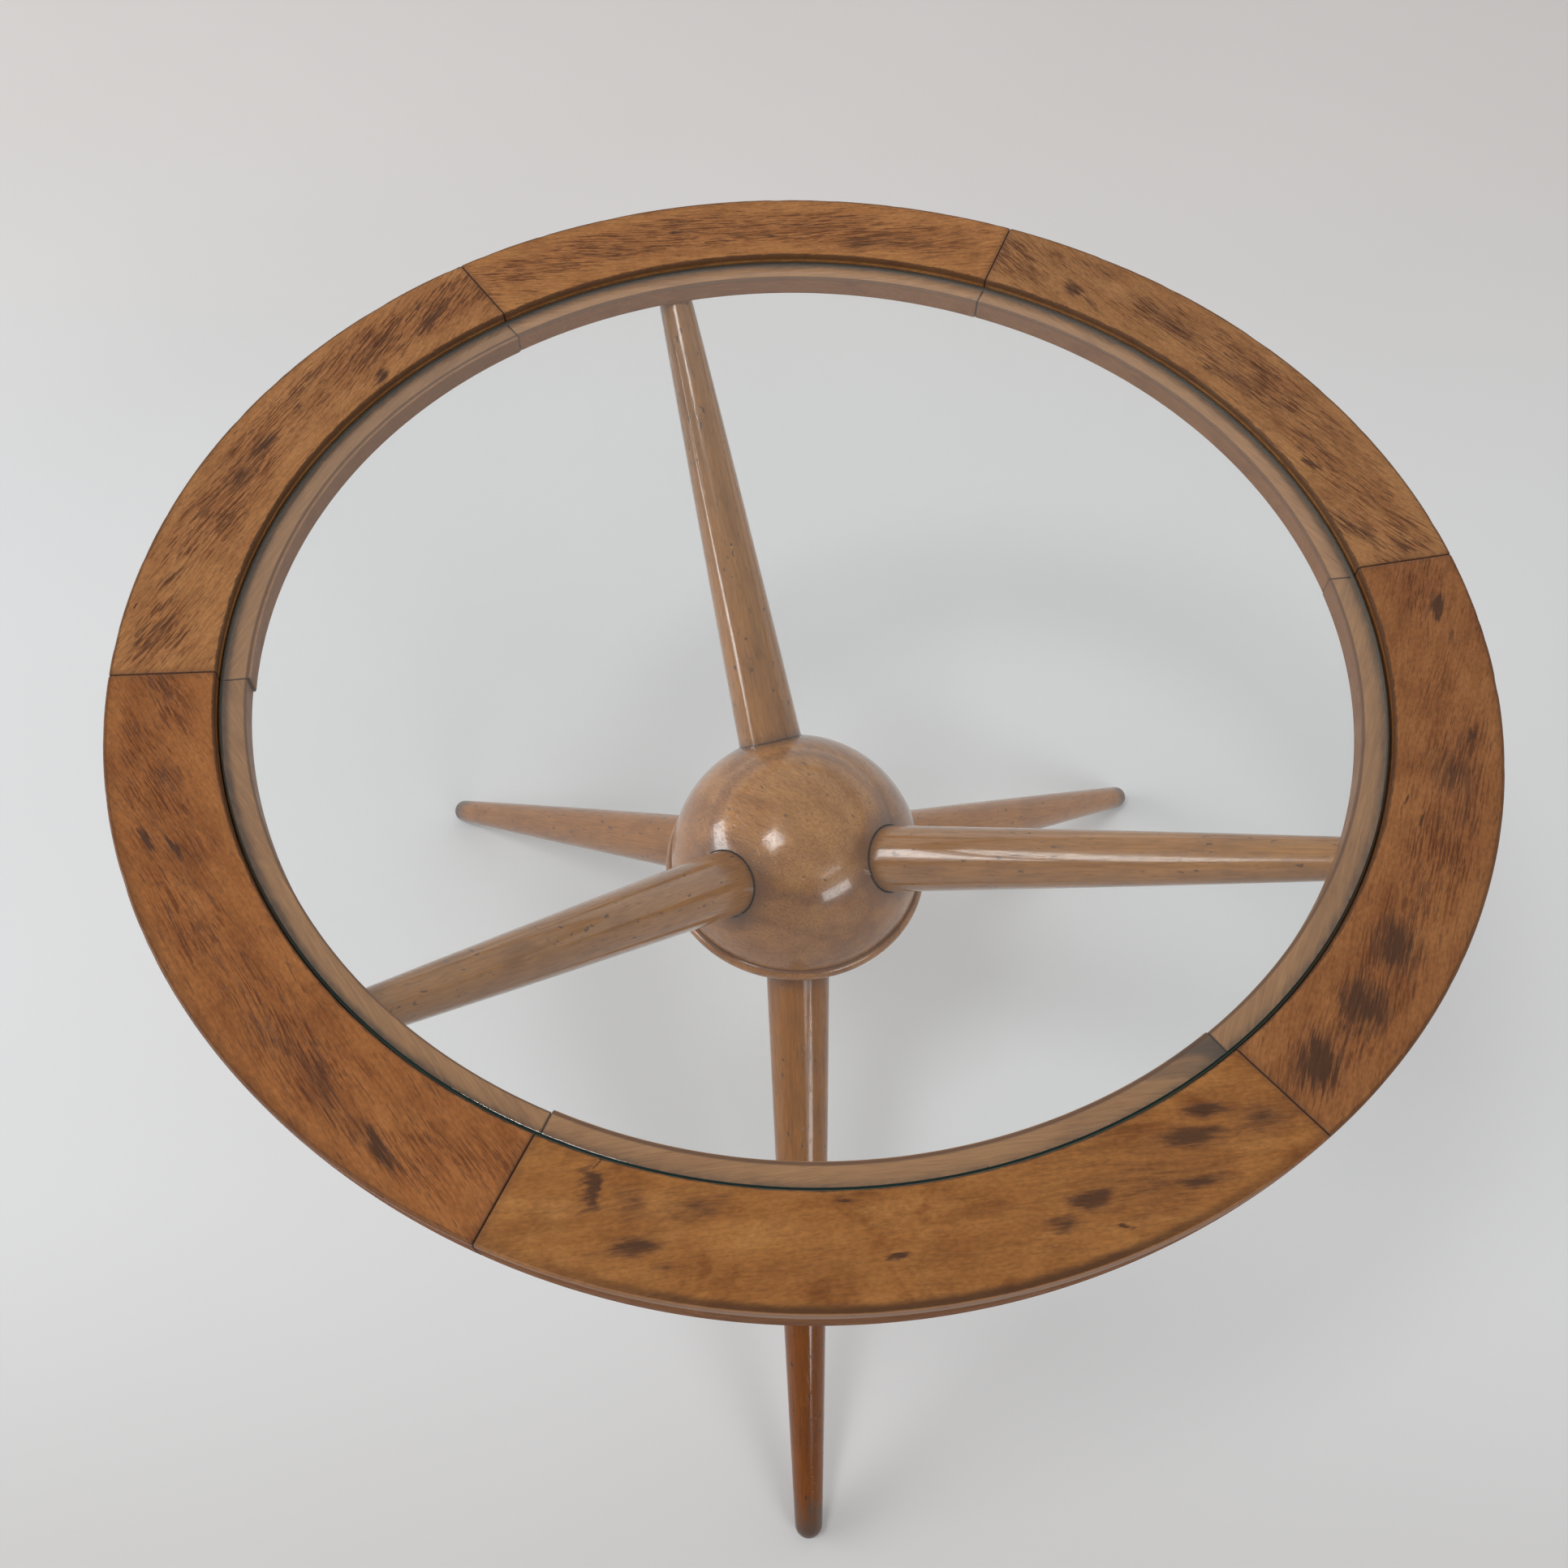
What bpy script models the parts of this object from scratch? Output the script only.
"""Round occasional table with a loose glass top.

A wooden ring of six glued segments holds the glass in a rebate. Three tapered arms carry the ring from a
ball hub, and three tapered legs carry the hub from the floor. The hub is two turned halves on one dowel.
Metres, +Z up. The origin is on the floor, under the middle of the ring.
"""

import math

import bmesh
import bpy
from mathutils import Vector

# Overall sizes
TABLE_HEIGHT = 0.450
RING_RADIUS = 0.300
HUB_HEIGHT = 0.2325

# Ring section: a band round the outside, and a ledge inside it that carries the glass
SEGMENTS = 6
FIRST_JOINT = math.radians(9.0)
JOINT_GAP = 0.0006
RING_THICKNESS = 0.023
BAND_WIDTH = 0.0435
LEDGE_WIDTH = 0.012
TOP_FALL = 0.004
SIDE_BOW = 0.0018
TOP_ARRIS = 0.0012
UNDER_ARRIS = 0.0025
INNER_ARRIS = 0.0008

# Loose splines across the joints of the ring
SPLINE_LENGTH = 0.030
SPLINE_WIDTH = 0.024
SPLINE_THICKNESS = 0.005

# Glass
GLASS_THICKNESS = 0.005
GLASS_RECESS = 0.0035
GLASS_PLAY = 0.00075
GLASS_ARRIS = 0.0007

# Hub
UPPER_RADIUS = 0.0705
LOWER_RADIUS = 0.0685
LIP_PROUD = 0.0033
LIP_HEIGHT = 0.008
DOWEL_RADIUS = 0.011
DOWEL_LENGTH = 0.056
HUB_WALL = 0.006

# Arms, which stand round the hub at uneven turns because their sockets were drilled by eye
ARM_TURNS = {"back": math.radians(107.4), "left": math.radians(227.7), "right": math.radians(336.2)}
ARM_INSET = 0.038
ARM_RADIUS = 0.018
ARM_TIP_RADIUS = 0.0087
ARM_PEG_RADIUS = 0.005
ARM_PEG_LENGTH = 0.013

# Legs: the turn and the reach of each foot from the middle of the table
LEG_TURNS = {"front": math.radians(273.6), "right": math.radians(38.2), "left": math.radians(146.6)}
LEG_REACHES = {"front": 0.314, "right": 0.317, "left": 0.300}
LEG_RADIUS = 0.018
FOOT_RADIUS = 0.008
FOOT_FLAT_CUT = 0.0006

# Tenons of the arms and legs in the hub
TENON_RADIUS = 0.011
SEAT_DEPTH = 0.009
BELLY = 0.0004

# Clearance between pieces that touch
FIT = 0.0003

# Facets
ARC_STEPS = 2
SIDE_STEPS = 4
LIP_STEPS = 6
SEGMENT_STEPS = 15
GLASS_STEPS = 90
HUB_STEPS = 48
TURNED_STEPS = 32
DOME_STEPS = 5
TAPER_STEPS = 4

# Sizes that follow from those above
REBATE_RADIUS = RING_RADIUS - BAND_WIDTH
LEDGE_RADIUS = REBATE_RADIUS - LEDGE_WIDTH
BAND_EDGE_Z = TABLE_HEIGHT - TOP_FALL
GLASS_TOP_Z = BAND_EDGE_Z - GLASS_RECESS
GLASS_UNDER_Z = GLASS_TOP_Z - GLASS_THICKNESS
LEDGE_Z = GLASS_UNDER_Z - FIT
RING_UNDER_Z = TABLE_HEIGHT - RING_THICKNESS
SPLINE_RADIUS = RING_RADIUS - BAND_WIDTH / 2
SPLINE_Z = (TABLE_HEIGHT - TOP_FALL / 2 + RING_UNDER_Z) / 2
HUB_CENTRE = Vector((0, 0, HUB_HEIGHT))
FAR = 2 * (TABLE_HEIGHT + RING_RADIUS)

RING_WOOD = ("ring_wood", (0.30, 0.135, 0.045), 0.45)
ARM_WOOD = ("arm_wood", (0.34, 0.17, 0.075), 0.38)
LEG_WOOD = ("leg_wood", (0.34, 0.165, 0.07), 0.38)
HUB_WOOD = ("hub_wood", (0.30, 0.155, 0.075), 0.32)
PEG_WOOD = ("peg_wood", (0.45, 0.28, 0.14), 0.6)
CLEAR_GLASS = ("clear_glass", (0.86, 0.93, 0.90), 0.03)


def clear_scene():
    for old in list(bpy.data.objects):
        bpy.data.objects.remove(old, do_unlink=True)


def material(name, colour, roughness, transmission=0.0):
    """The Principled material of this name, made the first time it is asked for."""
    found = bpy.data.materials.get(name)
    if found:
        return found
    made = bpy.data.materials.new(name)
    made.use_nodes = True
    shader = made.node_tree.nodes["Principled BSDF"]
    shader.inputs["Base Color"].default_value = (*colour, 1)
    shader.inputs["Roughness"].default_value = roughness
    shader.inputs["Transmission Weight"].default_value = transmission
    return made


def placed(name, bm, finish=None):
    """An object of this bmesh with outward faces. Without a finish it is a hidden cutter."""
    bmesh.ops.recalc_face_normals(bm, faces=bm.faces)
    mesh = bpy.data.meshes.new(name)
    bm.to_mesh(mesh)
    bm.free()
    obj = bpy.data.objects.new(name, mesh)
    bpy.context.scene.collection.objects.link(obj)
    if finish:
        mesh.shade_smooth()
        mesh.set_sharp_from_angle(angle=math.radians(32))
        mesh.materials.append(finish)
    else:
        obj.hide_render = True
        obj.display_type = "WIRE"
    return obj


def boolean(obj, tool, operation):
    modifier = obj.modifiers.new(tool.name, "BOOLEAN")
    modifier.operation = operation
    modifier.object = tool
    modifier.solver = "EXACT"


def swept(centre, start, turn, steps):
    """Points round a centre, from start through an angle."""
    spoke = start - centre
    angles = [math.atan2(spoke.y, spoke.x) + turn * step / steps for step in range(steps + 1)]
    return [centre + spoke.length * Vector((math.cos(angle), math.sin(angle))) for angle in angles]


def arc(centre, start, end, steps):
    """Points round a centre from start to end, the short way."""
    return swept(centre, start, -(start - centre).angle_signed(end - centre), steps)


def bowed(start, end, rise, steps):
    """Points from start to end on an arc that stands out by rise, to the right of the way along it."""
    chord = end - start
    radius = chord.length_squared / (8 * rise) + rise / 2
    outward = Vector((chord.y, -chord.x)).normalized()
    centre = (start + end) / 2 + outward * (rise - radius)
    return swept(centre, start, 4 * math.atan(2 * rise / chord.length), steps)


def rounded(corners):
    """The closed outline through (point, radius) corners, with an arc at each corner that has a radius."""
    outline = []
    for index, (corner, radius) in enumerate(corners):
        if not radius:
            outline.append(corner)
            continue
        before = (corners[index - 1][0] - corner).normalized()
        after = (corners[(index + 1) % len(corners)][0] - corner).normalized()
        half = before.angle(after) / 2
        centre = corner + (before + after).normalized() * (radius / math.sin(half))
        reach = radius / math.tan(half)
        outline += arc(centre, corner + before * reach, corner + after * reach, ARC_STEPS)
    return outline


def turned(name, profile, steps, finish=None):
    """The solid that an open profile of (radius, height) points sweeps in a full turn about Z."""
    bm = bmesh.new()
    points = [bm.verts.new((radius, 0, height)) for radius, height in profile]
    edges = [bm.edges.new(pair) for pair in zip(points, points[1:])]
    bmesh.ops.spin(
        bm,
        geom=points + edges,
        axis=(0, 0, 1),
        cent=(0, 0, 0),
        angle=2 * math.pi,
        steps=steps,
        use_merge=True,
    )
    bmesh.ops.remove_doubles(bm, verts=bm.verts, dist=1e-6)
    return placed(name, bm, finish)


def rod(radius, low, high):
    """The profile of a plain rod between two heights."""
    return [(0, high), (radius, high), (radius, low), (0, low)]


def block(name, size, finish=None):
    bm = bmesh.new()
    bmesh.ops.create_cube(bm, size=1)
    bmesh.ops.scale(bm, vec=size, verts=bm.verts)
    return placed(name, bm, finish)


def polar(radius, turn, height):
    return Vector((radius * math.cos(turn), radius * math.sin(turn), height))


def pointed_from_hub(obj, target):
    """Stands the object's local Z axis on the line from the hub's centre to the target."""
    obj.location = HUB_CENTRE
    obj.rotation_mode = "QUATERNION"
    obj.rotation_quaternion = Vector((0, 0, 1)).rotation_difference(target - HUB_CENTRE)


def ring_section():
    """The ring's section as (radius, height) corners, from the underside inside and up over the ledge."""
    side = bowed(
        Vector((RING_RADIUS - SIDE_BOW, RING_UNDER_Z)),
        Vector((RING_RADIUS - SIDE_BOW, TABLE_HEIGHT)),
        SIDE_BOW,
        SIDE_STEPS,
    )
    return rounded(
        [
            (Vector((REBATE_RADIUS, BAND_EDGE_Z)), INNER_ARRIS),
            (Vector((REBATE_RADIUS, LEDGE_Z)), 0),
            (Vector((LEDGE_RADIUS, LEDGE_Z)), INNER_ARRIS),
            (Vector((LEDGE_RADIUS, RING_UNDER_Z)), INNER_ARRIS),
            (side[0], UNDER_ARRIS),
            *[(point, 0) for point in side[1:-1]],
            (side[-1], TOP_ARRIS),
        ]
    )


def joint_turn(index):
    return FIRST_JOINT + index * 2 * math.pi / SEGMENTS


def ring_segment(index):
    """One segment, swept from just past one joint to just short of the next."""
    half_gap = JOINT_GAP / RING_RADIUS / 2
    start = joint_turn(index) + half_gap
    bm = bmesh.new()
    corners = [bm.verts.new(polar(point.x, start, point.y)) for point in ring_section()]
    face = bm.faces.new(corners)
    bmesh.ops.spin(
        bm,
        geom=[face, *face.edges, *face.verts],
        axis=(0, 0, 1),
        cent=(0, 0, 0),
        angle=joint_turn(index + 1) - half_gap - start,
        steps=SEGMENT_STEPS,
    )
    return placed(f"ring_segment_{index + 1}", bm, material(*RING_WOOD))


def make_ring(peg_sockets):
    """The segments, with a spline in a pocket across each joint and the arms' pegs in sockets beneath."""
    segments = [ring_segment(index) for index in range(SEGMENTS)]
    spline_size = Vector((SPLINE_WIDTH, SPLINE_LENGTH, SPLINE_THICKNESS))
    for index in range(SEGMENTS):
        spline = block(f"ring_spline_{index + 1}", spline_size, material(*PEG_WOOD))
        pocket = block(f"spline_pocket_{index + 1}", spline_size + Vector((FIT, FIT, FIT)) * 2)
        for obj in (spline, pocket):
            obj.location = polar(SPLINE_RADIUS, joint_turn(index), SPLINE_Z)
            obj.rotation_euler.z = joint_turn(index)
        boolean(segments[index - 1], pocket, "DIFFERENCE")
        boolean(segments[index], pocket, "DIFFERENCE")
    for turn, socket in peg_sockets:
        step = 2 * math.pi / SEGMENTS
        boolean(segments[int((turn - FIRST_JOINT) // step) % SEGMENTS], socket, "DIFFERENCE")


def make_glass():
    radius = REBATE_RADIUS - GLASS_PLAY
    rim = rounded(
        [
            (Vector((0, GLASS_TOP_Z)), 0),
            (Vector((radius, GLASS_TOP_Z)), GLASS_ARRIS),
            (Vector((radius, GLASS_UNDER_Z)), GLASS_ARRIS),
            (Vector((0, GLASS_UNDER_Z)), 0),
        ]
    )
    turned("glass_top", rim, GLASS_STEPS, material(*CLEAR_GLASS, transmission=1.0))


def tenon_end(target):
    """Distance from the hub's centre to a tenon's end, which leaves a wall of wood round the dowel."""
    rise = abs((target - HUB_CENTRE).normalized().z)
    return (DOWEL_RADIUS + HUB_WALL + TENON_RADIUS * rise) / math.sqrt(1 - rise * rise)


def tapered(radius, tip_radius, seat, tip):
    """Profile points of a turned member from its seat to its tip, a little fuller than straight."""
    points = []
    for step in range(TAPER_STEPS + 1):
        share = step / TAPER_STEPS
        full = 4 * BELLY * share * (1 - share)
        points.append((radius + (tip_radius - radius) * share + full, seat + (tip - seat) * share))
    return points


def hub_socket(name, target, radius, seat):
    """A stepped cutter for one member: its body down to the seat, then its tenon, each with clearance."""
    end = tenon_end(target) - FIT
    cutter = turned(
        name,
        [
            (0, FAR),
            (radius + FIT, FAR),
            (radius + FIT, seat - FIT),
            (TENON_RADIUS + FIT, seat - FIT),
            (TENON_RADIUS + FIT, end),
            (0, end),
        ],
        TURNED_STEPS,
    )
    pointed_from_hub(cutter, target)
    return cutter


def make_arm(name, turn):
    """A tapered arm, scribed flat to the ring's underside. Returns its hub socket and its peg's socket."""
    target = polar(RING_RADIUS - ARM_INSET, turn, RING_UNDER_Z)
    seat = UPPER_RADIUS - SEAT_DEPTH
    length = (target - HUB_CENTRE).length
    past = length + 2 * ARM_RADIUS
    body = tapered(ARM_RADIUS, ARM_TIP_RADIUS, seat, length)
    profile = [
        (0, past),
        (ARM_TIP_RADIUS, past),
        *reversed(body),
        (TENON_RADIUS, seat),
        (TENON_RADIUS, tenon_end(target)),
        (0, tenon_end(target)),
    ]
    arm = turned(f"upper_arm_{name}", profile, TURNED_STEPS, material(*ARM_WOOD))
    pointed_from_hub(arm, target)

    above = block(f"above_arm_{name}", Vector((FAR, FAR, FAR)))
    above.location.z = RING_UNDER_Z - FIT + FAR / 2
    boolean(arm, above, "DIFFERENCE")

    peg_root = length - 3 * ARM_TIP_RADIUS
    peg_end = length + ARM_PEG_LENGTH
    peg = turned(f"peg_{name}", rod(ARM_PEG_RADIUS, peg_root, peg_end), TURNED_STEPS)
    bore = rod(ARM_PEG_RADIUS + FIT, peg_root, peg_end + FIT)
    peg_socket = turned(f"peg_socket_{name}", bore, TURNED_STEPS)
    for obj in (peg, peg_socket):
        pointed_from_hub(obj, target)
    boolean(arm, peg, "UNION")
    return hub_socket(f"arm_socket_{name}", target, ARM_RADIUS, seat), peg_socket


def make_leg(name, turn, reach):
    """A tapered leg with a domed foot, worn flat where it meets the floor. Returns its hub socket."""
    target = polar(reach, turn, FOOT_RADIUS - FOOT_FLAT_CUT)
    seat = LOWER_RADIUS - SEAT_DEPTH
    length = (target - HUB_CENTRE).length
    middle = Vector((0, length))
    dome = arc(middle, middle + Vector((0, FOOT_RADIUS)), middle + Vector((FOOT_RADIUS, 0)), DOME_STEPS)
    body = tapered(LEG_RADIUS, FOOT_RADIUS, seat, length)
    profile = [
        *dome[:-1],
        *reversed(body),
        (TENON_RADIUS, seat),
        (TENON_RADIUS, tenon_end(target)),
        (0, tenon_end(target)),
    ]
    leg = turned(f"lower_leg_{name}", profile, TURNED_STEPS, material(*LEG_WOOD))
    pointed_from_hub(leg, target)

    floor = block(f"under_foot_{name}", Vector((FAR, FAR, FAR)))
    floor.location.z = -FAR / 2
    boolean(leg, floor, "DIFFERENCE")
    return hub_socket(f"leg_socket_{name}", target, LEG_RADIUS, seat)


def make_hub(arm_sockets, leg_sockets):
    """The upper half ball, the lower half ball with its rounded lip, and the dowel that joins them."""
    seam = FIT / 2
    top = Vector((0, UPPER_RADIUS))
    rim = Vector((math.sqrt(UPPER_RADIUS**2 - seam**2), seam))
    upper_profile = [*arc(Vector((0, 0)), top, rim, HUB_STEPS // 4), (0, seam)]
    upper = turned("hub_upper", upper_profile, HUB_STEPS, material(*HUB_WOOD))

    lip_top = Vector((UPPER_RADIUS, -seam))
    lip_foot = Vector((UPPER_RADIUS, -seam - LIP_HEIGHT))
    lip = bowed(lip_foot, lip_top, LIP_PROUD, LIP_STEPS)
    neck = Vector((math.sqrt(LOWER_RADIUS**2 - lip_foot.y**2), lip_foot.y))
    bottom = Vector((0, -LOWER_RADIUS))
    lower_profile = [(0, -seam), *reversed(lip), *arc(Vector((0, 0)), neck, bottom, HUB_STEPS // 4)]
    lower = turned("hub_lower", lower_profile, HUB_STEPS, material(*HUB_WOOD))

    half = DOWEL_LENGTH / 2
    dowel = turned("hub_dowel", rod(DOWEL_RADIUS, -half, half), TURNED_STEPS, material(*PEG_WOOD))
    bore = turned("dowel_bore", rod(DOWEL_RADIUS + FIT, -half - FIT, half + FIT), TURNED_STEPS)

    for obj in (upper, lower, dowel, bore):
        obj.location = HUB_CENTRE
    for half_ball, sockets in ((upper, arm_sockets), (lower, leg_sockets)):
        boolean(half_ball, bore, "DIFFERENCE")
        for socket in sockets:
            boolean(half_ball, socket, "DIFFERENCE")


def main():
    clear_scene()
    arm_sockets = []
    peg_sockets = []
    for name, turn in ARM_TURNS.items():
        arm_socket, peg_socket = make_arm(name, turn)
        arm_sockets.append(arm_socket)
        peg_sockets.append((turn, peg_socket))
    leg_sockets = [make_leg(name, turn, LEG_REACHES[name]) for name, turn in LEG_TURNS.items()]
    make_hub(arm_sockets, leg_sockets)
    make_ring(peg_sockets)
    make_glass()


main()
